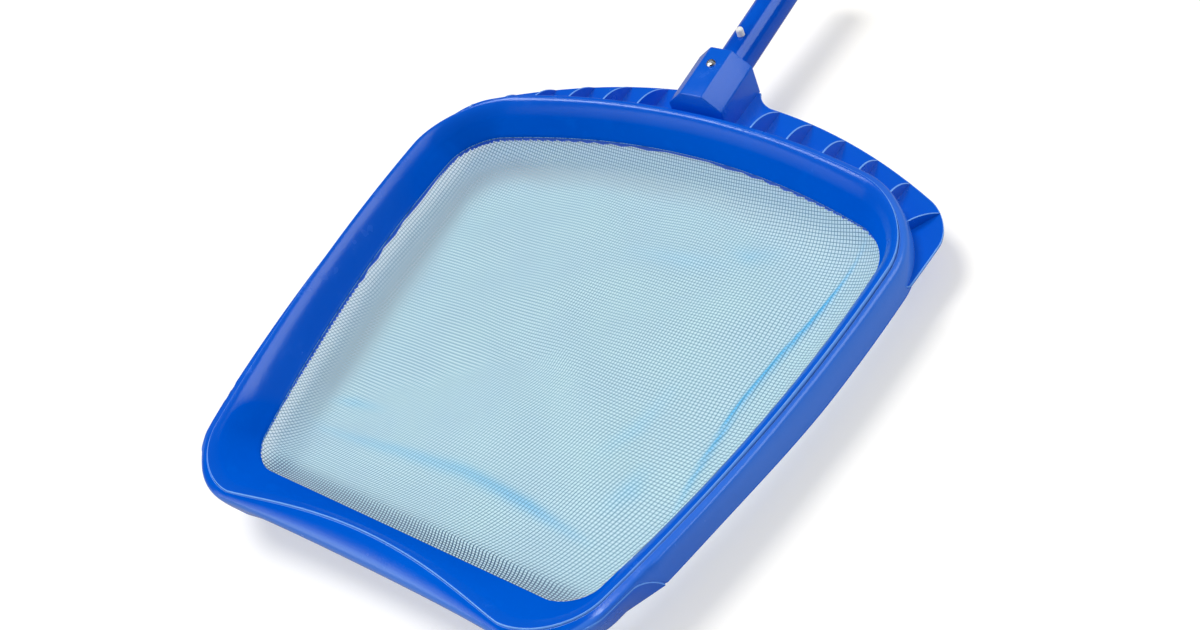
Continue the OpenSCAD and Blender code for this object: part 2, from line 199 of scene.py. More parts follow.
def linked(name, data):
    """A new object of the scene, at the origin."""
    item = bpy.data.objects.new(name, data)
    bpy.context.scene.collection.objects.link(item)
    return item


def mesh_object(name, points, faces, flat=(), uv=None, edge=None):
    """A smooth-shaded object from points in the head's frame. Faces whose index is in flat
    are shaded flat. uv has one pair of metres and edge one painted_sheen_mark for each point:
    over 0 a painted highlight, under 0 dull."""
    mesh = bpy.data.meshes.new(name)
    mesh.from_pydata(placed(points), [], faces)
    smooth_faces = np.ones(len(mesh.polygons), bool)
    smooth_faces[list(flat)] = False
    mesh.polygons.foreach_set("use_smooth", smooth_faces)
    if uv is not None:
        corner = np.empty(len(mesh.loops), np.int32)
        mesh.loops.foreach_get("vertex_index", corner)
        layer = mesh.uv_layers.new(name="UVMap")
        layer.data.foreach_set("uv", np.asarray(uv, np.float32)[corner].ravel())
    if edge is not None:
        mark = mesh.attributes.new("painted_sheen_mark", "FLOAT", "POINT")
        mark.data.foreach_set("value", np.asarray(edge, np.float32).ravel())
    mesh.validate()
    mesh.update()
    return linked(name, mesh)


def grid_faces(rows, columns, close_rows, close_columns):
    """Quads between neighbouring points of a grid that is numbered row by row."""
    r = np.arange(rows if close_rows else rows - 1)[:, None]
    c = np.arange(columns if close_columns else columns - 1)[None, :]
    r1, c1 = (r + 1) % rows, (c + 1) % columns
    return np.stack([r * columns + c, r * columns + c1, r1 * columns + c1, r1 * columns + c],
                    -1).reshape(-1, 4)


def ring_piece(name, profiles, edge):
    """A closed profile at each station of the outline, joined into a ring. The profiles run
    anticlockwise, seen with the outside of the head to the right."""
    rows, columns = profiles.shape[:2]
    faces = grid_faces(rows, columns, True, True)
    piece = mesh_object(name, profiles.reshape(-1, 3), faces[:, ::-1].tolist(),
                        edge=np.broadcast_to(edge, (rows, columns)))
    # points of a profile that fall together become one, which takes out faces with no area
    same_point = 2e-7
    grid = bmesh.new()
    grid.from_mesh(piece.data)
    bmesh.ops.remove_doubles(grid, verts=grid.verts, dist=same_point)
    grid.to_mesh(piece.data)
    grid.free()
    return piece


def stacked(loops, edge=0.0):
    """Loops of points from the first to the last, with a flat cap on each end. The edge gives
    each point's painted_sheen_mark, where a highlight is painted on a rounded edge."""
    loops = np.asarray(loops, float)
    rows, columns = loops.shape[:2]
    faces = grid_faces(rows, columns, False, True).tolist()
    flat = [len(faces), len(faces) + 1]
    faces.append(list(range(columns - 1, -1, -1)))
    faces.append([(rows - 1) * columns + k for k in range(columns)])
    return loops.reshape(-1, 3), faces, flat, np.broadcast_to(edge, (rows, columns)).ravel()


def inset(loop, distance):
    """A closed plan loop, anticlockwise, drawn in by a distance."""
    step = np.roll(loop, -1, 0) - np.roll(loop, 1, 0)
    step /= np.linalg.norm(step, axis=1, keepdims=True)
    return loop + np.stack([-step[:, 1], step[:, 0]], 1) * distance


def slab(loop, low, high, edge, steps=4):
    """Loops of a plate whose outline is the plan loop, with its edges rounded by a radius. The
    first and last loops lie on the flat faces, 1.2 radii in, and the mark is 1, a painted
    highlight, on the rounded upper edge."""
    a = np.radians(np.linspace(0, 90, steps + 1))
    rise = [(low + edge - edge * math.cos(t), edge - edge * math.sin(t)) for t in a]
    fall = [(high - edge + edge * math.sin(t), edge - edge * math.cos(t)) for t in a]
    places = [(low, 1.2 * edge)] + rise + fall + [(high, 1.2 * edge)]
    loops = np.array([raised(inset(loop, d), z) for z, d in places])
    return loops, np.repeat([0.0, 1.0, 0.0], [steps + 2, steps + 1, 1])[:, None]


def rounded_polygon(corners, radius, steps=5):
    """A convex polygon, anticlockwise, whose corners are rounded by quadratic curves."""
    corners = np.asarray(corners, float)
    before, after = np.roll(corners, 1, 0), np.roll(corners, -1, 0)
    a, b = toward(corners, before, radius), toward(corners, after, radius)
    t = np.linspace(0, 1, steps + 1)[None, :, None]
    curve = (1 - t) ** 2 * a[:, None] + 2 * t * (1 - t) * corners[:, None] + t ** 2 * b[:, None]
    return curve.reshape(-1, 2)


# ---- Materials ----

BLUE = (0.0, 0.094, 0.62)
PALE_BLUE = (0.0, 0.122, 0.70)
# the paler blue of the painted highlights on edges and of the painted reflection on the lip
HIGHLIGHT_BLUE = (0.16, 0.40, 0.92)


def tone(color, factor):
    """A colour made darker or lighter by a factor, and no lighter than white."""
    return tuple(min(c * factor, 1) for c in color)


class Nodes:
    """Adds nodes to a tree. An input is given by its name, with _ for a space, or by i and its
    number. It takes a value, a colour of three numbers or another node's output."""

    def __init__(self, tree):
        self.tree = tree

    def give(self, node, **inputs):
        """Sets inputs of a node."""
        for key, value in inputs.items():
            socket = node.inputs[int(key[1:]) if key[1:].isdigit() else key.replace("_", " ")]
            if isinstance(value, bpy.types.NodeSocket):
                self.tree.links.new(value, socket)
            else:
                socket.default_value = (*value, 1) if isinstance(value, tuple) else value

    def add(self, kind, settings=(), **inputs):
        """A new node with its settings and inputs."""
        node = self.tree.nodes.new("ShaderNode" + kind)
        for key, value in dict(settings).items():
            setattr(node, key, value)
        self.give(node, **inputs)
        return node

    def math(self, operation, a, b=0.0, c=0.0):
        """One step of arithmetic. MULTIPLY_ADD is a times b plus c."""
        return self.add("Math", {"operation": operation}, i0=a, i1=b, i2=c).outputs[0]

    def noise(self, scale, detail=3.0):
        """Soft random values about one half, finer at a larger scale."""
        where = self.add("TexCoord").outputs["Object"]
        return self.add("TexNoise", Vector=where, Scale=scale, Detail=detail).outputs[0]

    def attribute(self, name, output):
        """What each point of the mesh holds under a name."""
        return self.add("Attribute", {"attribute_name": name}).outputs[output]

    def parts(self, vector):
        """The three numbers of a vector."""
        return self.add("SeparateXYZ", Vector=vector).outputs

    def ramp(self, value, low, high, to_low=0.0, to_high=1.0):
        """A straight ramp that is to_low up to low, and to_high from high on."""
        return self.add("MapRange", Value=value, From_Min=low, From_Max=high, To_Min=to_low,
                        To_Max=to_high).outputs[0]

    def blend(self, factor, a, b):
        """The colour that lies a share of the way from a to b."""
        return self.add("Mix", {"data_type": "RGBA"}, i0=factor, i6=a, i7=b).outputs[2]


class Finish(Nodes):
    """A new material with the nodes of its shader."""

    def __init__(self, name, color):
        self.material = bpy.data.materials.new(name)
        self.material.use_nodes = True
        self.material.diffuse_color = (*color, 1)
        super().__init__(self.material.node_tree)
        self.look(Base_Color=color)

    def look(self, **inputs):
        """Sets inputs of the shader."""
        self.give(self.tree.nodes["Principled BSDF"], **inputs)

    def bump(self, height, distance, strength=1.0):
        """Makes the surface seem to rise with a height, by a distance in metres."""
        bump = self.add("Bump", Height=height, Distance=distance, Strength=strength)
        self.look(Normal=bump.outputs[0])


def plastic_material(name, color, pale, highlight_color, roughness, grain):
    """Moulded plastic: faint flow marks in the colour, a fine grain and a slight waviness, and
    rougher scuffs. Where the painted_sheen_mark is over 0 the colour is painted paler as a
    highlight, and dull places reflect less."""
    n = Finish(name, color)
    flow = n.ramp(n.noise(9.0), 0.35, 0.7)
    scuff = n.ramp(n.noise(60.0, 6.0), 0.58, 0.75)
    body = n.blend(n.math("MULTIPLY_ADD", scuff, 0.35, n.math("MULTIPLY", flow, 0.45)),
                   color, pale)
    # painted highlight: over 0 the mark blends the colour towards the highlight colour
    sheen_level = n.attribute("painted_sheen_mark", "Fac")
    n.look(Base_Color=n.blend(sheen_level, body, highlight_color),
           Roughness=n.math("MULTIPLY_ADD", scuff, 0.14, roughness),
           Specular_IOR_Level=n.ramp(sheen_level, DULL, 0.0, 0.0, 0.48),
           Specular_Tint=(0.8, 0.92, 1.0))
    n.bump(n.math("MULTIPLY_ADD", n.noise(900.0, 2.0), 0.25, n.noise(26.0, 2.0)), grain)
    return n.material


def coating_material():
    """Blue powder coat on the tube: glossy, with a faint orange-peel surface."""
    color = (0.0, 0.07, 0.52)
    n = Finish("powder_coat", color)
    streak = n.ramp(n.noise(34.0, 4.0), 0.4, 0.65)
    n.look(Base_Color=n.blend(streak, color, (0.0, 0.095, 0.62)),
           Roughness=n.ramp(n.noise(80.0, 4.0), 0.4, 0.7, 0.10, 0.16),
           Specular_IOR_Level=0.45, Specular_Tint=(0.72, 0.9, 1.0))
    n.bump(n.noise(420.0, 2.0), 0.00006)
    return n.material


def steel_material(name, color, roughness):
    """Plated or rolled steel with fine turning marks and dull spots."""
    n = Finish(name, color)
    dull = n.ramp(n.noise(700.0, 4.0), 0.4, 0.7)
    n.look(Metallic=1.0, Base_Color=n.blend(dull, color, tone(color, 0.8)),
           Roughness=n.math("MULTIPLY_ADD", dull, 0.15, roughness))
    n.bump(n.noise(2400.0, 2.0), 0.00002)
    return n.material


def mesh_material(pitch, thread, thread_color, cell_color, crease_color):
    """Open woven mesh. Thin threads run along both directions of the cloth's own coordinates,
    and the cells between them are half clear. The look attribute holds three strengths: a
    crease, where the cloth lies double along the folds and is painted shade of soft waves
    elsewhere;
    the band along the front, where the cloth drops steeply, with thicker threads and painted
    shade;
    and the painted shade of the valley at the left.
    The rim attribute holds the way out to the ring and the distance from its plastic."""
    n = Finish("woven_mesh", cell_color)
    crease, front_band_shade, valley = n.parts(n.attribute("look", 1))
    out_x, out_y, away = n.parts(n.attribute("rim", 1))
    # from minus to plus one half over each cell, with 0 on the middle of a thread
    beside = [n.math("SUBTRACT", n.math("FRACT", n.math("DIVIDE", place, pitch)), 0.5)
              for place in n.parts(n.add("TexCoord").outputs["UV"])[:2]]
    # 1 on the middle of a thread, falling to 0 in the middle of a cell
    warp, weft = (n.math("SUBTRACT", 1.0, n.math("MULTIPLY", n.math("ABSOLUTE", place), 2.0))
                  for place in beside)
    # the weft is fainter behind the front band
    behind = n.math("MULTIPLY", n.ramp(out_y, -1.0, -0.4, 1.0, 0.0),
                    n.math("MULTIPLY", n.ramp(away, 0.012, 0.024),
                           n.ramp(away, 0.04, 0.12, 1.0, 0.0)))
    warp = n.math("MULTIPLY_ADD", behind, 0.08, warp)
    weft = n.math("MULTIPLY_ADD", behind, -0.1, weft)
    both = n.math("MAXIMUM", warp, weft)
    edge, softness = 1.0 - thread, 0.06
    cover = n.ramp(n.math("MULTIPLY_ADD", front_band_shade, 0.17, both), edge - softness, edge + softness)
    film = n.math("MULTIPLY_ADD", crease, 0.4, 0.5)
    alpha = n.math("MAXIMUM", n.math("MULTIPLY", cover, 0.92), film)
    cell = n.blend(n.ramp(n.noise(16.0), 0.35, 0.7), cell_color, tone(cell_color, 1.08))
    # painted shade in the band along the front: the cells are darker there
    cell = n.blend(n.math("MULTIPLY", front_band_shade, 0.5), cell, (0.36, 0.71, 0.92))
    # creases are deeper cyan: where the cloth lies double on the folds, and as painted shade of
    # soft waves elsewhere
    cell = n.blend(crease, cell, crease_color)
    # painted shade in the band along the front: the lines are darker there
    lines = n.blend(front_band_shade, thread_color, (0.0, 0.06, 0.15))
    lines = n.blend(crease, lines, tone(crease_color, 0.6))
    cloth = n.blend(cover, cell, lines)
    # painted shade in the valley at the left
    cloth = n.blend(n.math("MULTIPLY", valley, 0.85), cloth, (0.12, 0.29, 0.39))
    # the ring's plastic has run into the cells at the edge, and fills each of them or none
    for place, way in zip(beside, (out_x, out_y)):
        away = n.math("MULTIPLY_ADD", n.math("MULTIPLY", place, 0.6 * pitch), way, away)
    filled = n.math("LESS_THAN", away, 0.0)
    n.look(Alpha=n.math("MAXIMUM", alpha, filled), Base_Color=n.blend(filled, cloth, BLUE),
           Roughness=0.5)
    n.bump(both, 0.0003, 0.6)
    return n.material


def coat(piece, material):
    """Gives a piece one material in place of what it had."""
    piece.data.materials.clear()
    piece.data.materials.append(material)


def finish_piece(piece, material, node):
    """Gives a piece its material and fixes it to the head, in place of a CAD node."""
    coat(piece, material)
    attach(piece, "head")
    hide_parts(node)
    return piece


def finish_blue(piece, node):
    """Finishes a piece in the frame's blue plastic, which is made once."""
    blue = bpy.data.materials.get("moulded_blue") or plastic_material(
        "moulded_blue", BLUE, PALE_BLUE, HIGHLIGHT_BLUE, 0.2, 0.0003)
    finish_piece(piece, blue, node)


# ---- Shapes of the frame and the ring ----

def ring_height(t):
    """Height of the ring's slope from the mouth (0) to the crest (1): a quarter sine, drawn
    nearly half way towards a straight line along the front."""
    most = 0.45
    straight = most * smooth(-MOUTH_LINE[:, 1:], 140, 165)
    return RING_FOOT + (CREST_HEIGHT - RING_FOOT) * mix(np.sin(np.pi / 2 * t), t, straight)


def squareness(wall):
    """How square the wall's section is: it goes evenly from 0 to 1 over a run forward to the
    lip's ends and a shorter one at the rear."""
    front_run, rear_run = 130, 30
    front = np.clip((LIP_END + front_run - wall[:, 1]) / front_run, 0, 1)
    rear = np.clip((wall[:, 1] - WALL.rear_y) / rear_run, 0, 1)
    return np.maximum(front, rear)[:, None]


def lip_line(y):
    """Height of the lip's upper edge. Along the front it lies under the shoulder, it rises
    round the corner, and near each end it falls with the square of the way, as a flap."""
    lower = 14
    u = np.clip((y - (LIP_END - LIP_RUN)) / LIP_RUN, 0, 1)
    return (LIP_TOP - lower * smooth(-y, 182, 204)) * (1 - u ** 2)


class WallShape:
    """The outer wall at each station. Its section is a curve between an ellipse and a square
    corner, from the rim beside the groove out to the face and down to the foot. The lean is how
    far the foot lies inwards of the face, and it grows towards the front."""

    BELOW_CREST, SQUARE_RISE = 3.5, 2
    LIP_LEAN, LIP_LEAN_RUN, FRONT_LEAN = 9, 33, 4
    SHOULDER_SLOPE = 0.42

    def __init__(self, crest, wall):
        self.rim = toward(crest, wall, GROOVE)
        self.reach = np.linalg.norm(wall - self.rim, axis=1)[:, None]
        self.way = (wall - self.rim) / self.reach
        self.square = squareness(wall)
        self.height = CREST_HEIGHT - self.BELOW_CREST + self.SQUARE_RISE * self.square
        y = wall[:, 1:]
        self.lean = self.LIP_LEAN * np.clip((LIP_END - y) / self.LIP_LEAN_RUN, 0, 1)
        self.lean = self.lean + self.FRONT_LEAN * smooth(-y, -40, 100)
        self.front = smooth(-y, 165, 195)

    def power(self):
        """The power of the sine and cosine: two thirds on the sides, one third where square."""
        return 2 / (3 + 3 * self.square)

    def angle_at(self, z):
        """The section's angle where the face has a height z."""
        return np.arccos(np.clip(z / self.height, 0, 1) ** (1 / self.power()))

    def between(self, first, last, steps):
        """Angles from first to last that give points at nearly even steps. The angle is a
        quarter turn times t^q / (t^q + (1 - t)^q), where q undoes the section's power."""
        q = 1 / self.power()

        def place(angle):
            # the t that gives an angle
            share = np.clip(angle / (np.pi / 2), 1e-9, 1 - 1e-9)
            w = (share / (1 - share)) ** (1 / q)
            return w / (1 + w)

        t = mix(place(first), place(last), np.linspace(0, 1, steps)[None])
        rise, rest = np.clip(t, 0, 1) ** q, np.clip(1 - t, 0, 1) ** q
        return np.pi / 2 * rise / (rise + rest)

    def points(self, angle, shift=0.0):
        """Points of the section at angles from 0 (rim) to a quarter turn (foot). The height
        goes with a power of the cosine and the way out with the same power of the sine."""
        z = self.height * np.cos(angle) ** self.power()
        share = np.sin(angle) ** self.power()
        # along the front the top slopes down from the crest
        slope = self.SHOULDER_SLOPE * self.reach * share
        z = z - self.front * slope * smooth(z, 4, 24)
        s = self.reach * share - self.lean * (1 - z / self.height) + shift
        return raised(self.rim[:, None] + self.way[:, None] * s[..., None], z)


def clamp_ring_profiles():
    """The ring's closed profile and its marks at each station: a small rounded toe at the
    mouth, the slope up to a rounded crest, the side of the groove, and back underneath."""
    m, c, w = MOUTH_LINE[:, None], CREST_LINE[:, None], SLOPE
    edge, toe_radius, heel_share, steep = 0.7, 0.5, 0.66, 1.35

    def at(t, z):
        # points at a share t of the way from the mouth to the crest
        return raised(mix(m, c, t[..., None]), z)

    top = 1 - edge / w
    slope = top * np.linspace(0, 1, 30)[None]
    slope_points = at(slope, ring_height(slope))
    peak = ring_height(top)
    a = np.radians(np.linspace(75, 0, 6))[None]
    crest = at(top + edge * np.cos(a) / w, peak - edge + edge * np.sin(a))
    groove = at(np.ones_like(w), CREST_HEIGHT - GROOVE_DEPTH)
    inner_top = 1 - RING_WALL / w
    foot = HEM_WIDTH * heel_share / w
    skin = mix(inner_top, foot, np.linspace(0, 1, 8)[None])
    inner = at(skin, np.maximum(ring_height(skin) - RING_WALL * steep, HEM_TOP))
    under = at(inner_top, CREST_HEIGHT - GROOVE_DEPTH)
    heel = at(foot, HEM_TOP)
    a = np.radians(np.linspace(-90, 0, 4))[None]
    toe = at((toe_radius - toe_radius * np.cos(a)) / w,
             HEM_TOP + toe_radius + toe_radius * np.sin(a))
    parts = [toe, slope_points, crest, groove, under, inner, heel]
    # the rounded crest gets a painted highlight
    marks = [np.full(part.shape[:2], CREST_HIGHLIGHT * (part is crest)) for part in parts]
    # the toe is dull, and so is the slope low down along the front and the rear
    marks[0] += DULL
    y = m[..., 1]
    marks[1] = (slope - 1) * np.maximum(3 * smooth(-y, 110, 140), 1.3 * smooth(y, 60, 120))
    return np.concatenate(parts, 1)[:, ::-1], np.concatenate(marks, 1)[:, ::-1]


def rim_profiles():
    """The wall's closed profile and its marks at each station: the rim's rounded edge beside
    the groove, the shoulder, the pocket behind the lip, the foot, the plate under the ring, and
    back up the inside."""
    shape = WallShape(CREST_LINE, WALL_LINE)
    steps, radius, front_gap, gap_height, clearance = 40, 0.45, 0.12, 0.5, 0.2
    bottom = np.full((len(WALL_LINE), 1), CREST_HEIGHT - GROOVE_DEPTH - 1)
    plate = np.full_like(bottom, HEM_LOW)
    lip = lip_line(WALL_LINE[:, 1])[:, None]
    has_lip = smooth(lip, 0.2, 1.2)
    high = np.minimum(lip + mix(LIP_GAP, front_gap, shape.front), shape.height - 1.0)
    low = np.maximum(high - gap_height, 0.0)
    a_high, a_low = shape.angle_at(high), shape.angle_at(low)
    upper_points = shape.points(shape.between(0, a_high, steps))
    inwards = -has_lip * (LIP_THICK + clearance)
    ledge = shape.points(a_high, inwards)
    lower_points = shape.points(shape.between(a_low, np.pi / 2, 12), inwards)
    # the rim's inner edge is rounded where it goes down into the groove
    a = np.radians(np.linspace(180, 96, 5))[None]
    rim_z = upper_points[:, :1, 2]
    first = upper_points[:, :1, :2]
    bead = first + shape.way[:, None] * (radius * np.cos(a)[..., None])
    edge = raised(bead, rim_z - radius + radius * np.sin(a))
    drop = raised(bead[:, :1], bottom)
    outside = np.concatenate([drop, edge, upper_points, ledge, lower_points], 1)
    thick = FRAME_WALL + LIP_THICK * has_lip
    foot = lower_points[:, -1:, :2]
    inner_low = raised(foot - shape.way[:, None] * thick[..., None], plate)
    inner_high = raised(first + shape.way[:, None] * 0.5, bottom)
    mouth = toward(MOUTH_LINE, CREST_LINE, 1.5)[:, None]
    under = np.concatenate([raised(foot - shape.way[:, None] * 0.5, 0.0),
                            raised(mouth, 0.0), raised(mouth, plate)], 1)
    profile = np.concatenate([outside, under, inner_low, inner_high], 1)
    bead_end, shoulder_end = a.size + 2, a.size + steps
    mark = np.zeros(profile.shape[:2])
    # the rim's rounded edge gets a painted highlight
    mark[:, 1:bead_end] = RIM_HIGHLIGHT
    # The shoulder is dull along the front, down to a paler band over the lip, which is a painted
    # reflection. The right side is a little paler, painted light that falls on that side.
    band = mix(DULL, LIP_SHEEN, smooth(np.linspace(0, 1, steps), 0.25, 0.6))
    right_side_light = 0.22 * smooth(shape.way[:, :1], 0.3, 0.9) * (1 - shape.front)
    mark[:, bead_end:shoulder_end] = (shape.front * band + right_side_light)[:, 2:]
    return profile[:, ::-1], mark[:, ::-1]


def station(line, where):
    """Points of an outline at fractional stations, counted round the outline."""
    where = np.asarray(where) % len(line)
    low = np.floor(where).astype(int)
    t = (where - low)[:, None]
    return mix(line[low], line[(low + 1) % len(line)], t)


def lip_profiles():
    """The lip's closed profile and its marks, at stations that are closest near its two ends:
    the rounded upper edge, the outside down to the foot, and back up the inside."""
    profiles, radius = 260, 0.6
    quarter = CORNER_STEPS + SIDE_STEPS
    right = np.interp(LIP_END, WALL_LINE[:quarter, 1], np.arange(quarter))
    front_middle = len(WALL_LINE) - SIDE_STEPS / 2
    half = right + SIDE_STEPS / 2
    t = np.sin(np.linspace(-1, 1, profiles) * np.pi / 2)
    where = front_middle + half * t * NEARLY_ALL
    crest, wall = station(CREST_LINE, where), station(WALL_LINE, where)
    shape = WallShape(crest, wall)
    top = lip_line(wall[:, 1])[:, None]
    a_top = shape.angle_at(top)
    edge = np.minimum(radius, top / 3)
    a_face = shape.angle_at(np.maximum(top - edge, 0))
    proud = LIP_PROUD * (1 - shape.front)
    outer = shape.points(shape.between(a_face, np.pi / 2, 16), proud)
    a = np.radians(np.linspace(90, 0, 5)[:-1])[None]
    shoulder = shape.points(a_top + np.zeros_like(a), proud - radius + radius * np.cos(a))
    shoulder[..., 2] = top - edge + edge * np.sin(a)
    back = shape.points(shape.between(np.pi / 2, a_top, 8), -LIP_THICK)
    profile = np.concatenate([shoulder, outer, back], 1)
    mark = np.zeros(profile.shape[:2])
    # the rounded upper edge gets a painted highlight, and along the front the outside takes the
    # paler band of painted reflection
    mark[:, :shoulder.shape[1]] = LIP_EDGE_HIGHLIGHT
    outside = slice(shoulder.shape[1] + outer.shape[1])
    mark[:, outside] = mix(mark[:, outside], LIP_SHEEN, shape.front)
    return profile, mark


def rear_edge(line, x):
    """Where the rear of an outline lies at a distance x from the middle."""
    first = CORNER_STEPS + SIDE_STEPS
    part = line[first:3 * CORNER_STEPS + 2 * SIDE_STEPS + 1]
    order = np.argsort(part[:, 0])
    return np.interp(x, part[order, 0], part[order, 1])


def flange_loop():
    """Plan of the flange: its own edge round the rear with the web at the neck, then back
    inside the wall."""
    start, middle, radius = 128.0, 40, WEB_RADIUS
    outer = FLANGE_LINE[FLANGE_LINE[:, 1] > start]
    outer = outer[np.argsort(np.unwrap(np.arctan2(outer[:, 1] - middle, outer[:, 0])))]
    web_x = SOCKET_HALF + radius
    edge = float(rear_edge(FLANGE_LINE, web_x))
    rear_face = TUBE_START + SOCKET_LENGTH * math.cos(TUBE_RISE)
    reach = min(radius, rear_face - edge)
    a = np.arccos((radius - reach * np.linspace(0, 0.93, 16)) / radius)
    arc = np.stack([web_x - radius * np.sin(a), edge + radius - radius * np.cos(a)], 1)
    right = outer[outer[:, 0] > web_x]
    left = outer[outer[:, 0] < -web_x]
    mirrored = arc[::-1] * [-1, 1]
    inner = toward(WALL_LINE, CREST_LINE, FRAME_WALL / 2)
    inner = inner[inner[:, 1] > start]
    inner = inner[np.argsort(-np.arctan2(inner[:, 1] - middle, inner[:, 0]))]
    return np.concatenate([right, arc, mirrored, left, inner])


def rib_splay(x):
    """How much nearer to the middle a rib's root is than its tip."""
    return 13 * smooth(abs(x), 165, 212)


def rib_loop(x):
    """Side view of a rib, along and up. Its top is highest at the wall, and falls with the 2.1th
    power of the way to the flange's edge."""
    root = float(rear_edge(WALL_LINE, abs(x) - rib_splay(x))) - FRAME_WALL
    run = float(rear_edge(FLANGE_LINE, x)) - 1 - root
    rise = np.interp(abs(x), [50, 130, 212], [18.5, 16, 9])
    u = np.linspace(0, 1, 15)
    top = np.stack([root + run * u, FLANGE_TOP + 0.5 + rise * (1 - u ** 2.1)], 1)
    sunk = FLANGE_TOP - 1.2
    base = np.array([[root, sunk], [root + run, sunk]])
    return np.concatenate([base, top[::-1]])


def joined(name, parts):
    """One object from several (points, faces, flat, edge) parts."""
    faces, flat, start = [], [], 0
    for points, part_faces, part_flat, edge in parts:
        flat += [k + len(faces) for k in part_flat]
        faces += [[k + start for k in face] for face in part_faces]
        start += len(points)
    points, edge = (np.concatenate([part[k] for part in parts]) for k in (0, 3))
    return mesh_object(name, points, faces, flat, edge=edge)


def rib_parts():
    """The ribs on both sides. The mark is 1, a painted highlight, over the thickness of their top
    edges.
    """
    parts = []
    for side in (-1, 1):
        for k in range(RIBS):
            x = side * (RIB_FIRST + k * RIB_PITCH)
            loops = slab(rib_loop(x), x - RIB_THICK / 2, x + RIB_THICK / 2, 0.4)[0]
            mark = np.broadcast_to(np.abs(np.linspace(-1, 1, len(loops)))[:, None] < 0.95,
                                   loops.shape[:2]) * (np.arange(loops.shape[1]) > 2)
            # the slab is drawn as along, up, across and is turned to across, along, up
            loops = loops[..., [2, 0, 1]]
            along = loops[..., 1] - loops[..., 1].max()
            loops[..., 0] += side * rib_splay(x) * along / np.ptp(loops[..., 1])
            parts.append(stacked(loops, mark))
    return parts


def socket_part():
    """The socket's outside is a half octagon with rounded edges. Its rear face has the bore
    that takes the tube."""
    foot, side, flat_half, top = -TUBE_RADIUS - 3, 11, 9.5, 25
    half = [[SOCKET_HALF, foot], [SOCKET_HALF, side], [flat_half, top]]
    section = rounded_polygon([[-SOCKET_HALF, foot], *half, *([-x, z] for x, z in half[:0:-1])],
                              1.3)
    loops = list(slab(section, 0, SOCKET_LENGTH, 0.8)[0][1:-1])
    angle = np.arctan2(section[:, 1], section[:, 0])

    def circle(radius):
        # points at the same angles as the section's
        return np.stack([radius * np.cos(angle), radius * np.sin(angle)], 1)

    bore, floor = TUBE_RADIUS + 0.12, 3
    for wider, deeper in ((0.7, 0), (0.2, 0.2), (0, 0.7), (0, SOCKET_LENGTH - floor)):
        loops.append(raised(circle(bore + wider), SOCKET_LENGTH - deeper))
    points, faces, flat, mark = stacked(np.array(loops)[..., [0, 2, 1]])
    return along_tube(points), [face[::-1] for face in faces], flat, mark


# ---- The net ----

# Creases in the mesh: [x, y, strength, width] at points along each, in millimetres. The first
# two follow folds where the cloth lies double; the others paint the shade of soft waves in the
# cloth, darker and deeper cyan. Each also raises a small ridge.
CREASES = (
    [(170, 178, 0, 1.6), (160, 128, 1.1, 1.9), (150, 70, 1.2, 1.9), (145, 16, 1.2, 2.0),
     (146, -35, 0.7, 2.2), (148, -80, 0, 2.2)],
    [(-158, -113, 0, 4), (-88, -106, 0.3, 5), (-11, -98, 0.45, 6), (52, -103, 0.6, 5),
     (108, -112, 0.1, 4)],
    [(-152, -88, 0, 4), (-128, -82, 0.35, 4), (-96, -76, 0, 4)],
    [(70, -60, 0, 6), (88, -20, 0.2, 7), (96, 30, 0, 6)],
    [(100, -92, 0, 7), (112, -66, 0.3, 8), (110, -40, 0, 7)],
    [(-20, 120, 0, 8), (40, 126, 0.16, 9), (90, 138, 0, 8)],
    [(60, 150, 0, 9), (84, 146, 0.25, 8), (112, 160, 0, 7)],
)


def crease_strength(points):
    """How strongly each plan point is creased. Across a crease the strength falls off as a
    bell curve, and along it the strength and width go evenly from one point to the next."""
    total = np.zeros(points.shape[:-1])
    for crease in CREASES:
        nodes = np.asarray(crease, float)
        for p, q in zip(nodes[:-1], nodes[1:]):
            run = q[:2] - p[:2]
            t = np.clip((points - p[:2]) @ run / (run @ run), 0, 1)
            here = mix(p[None], q[None], t[..., None])
            away = np.linalg.norm(points - here[..., :2], axis=-1)
            total = np.maximum(total, here[..., 2] * np.exp(-(away / here[..., 3]) ** 2))
    return np.minimum(total, 1)


def nearest_stations(line, target, spread=9):
    """For each point of an outline, the station of another outline that lies nearest. Each
    answer is then evened out with its neighbours on both sides."""
    count, width = len(line), 2 * spread + 1
    gap = np.linalg.norm(line[:, None] - target[None], axis=-1)
    turn = (np.argmin(gap, 1) - np.arange(count) + count / 2) % count - count / 2
    around = np.concatenate([turn[-spread:], turn, turn[:spread]])
    return np.arange(count) + np.convolve(around, np.full(width, 1 / width), "valid")


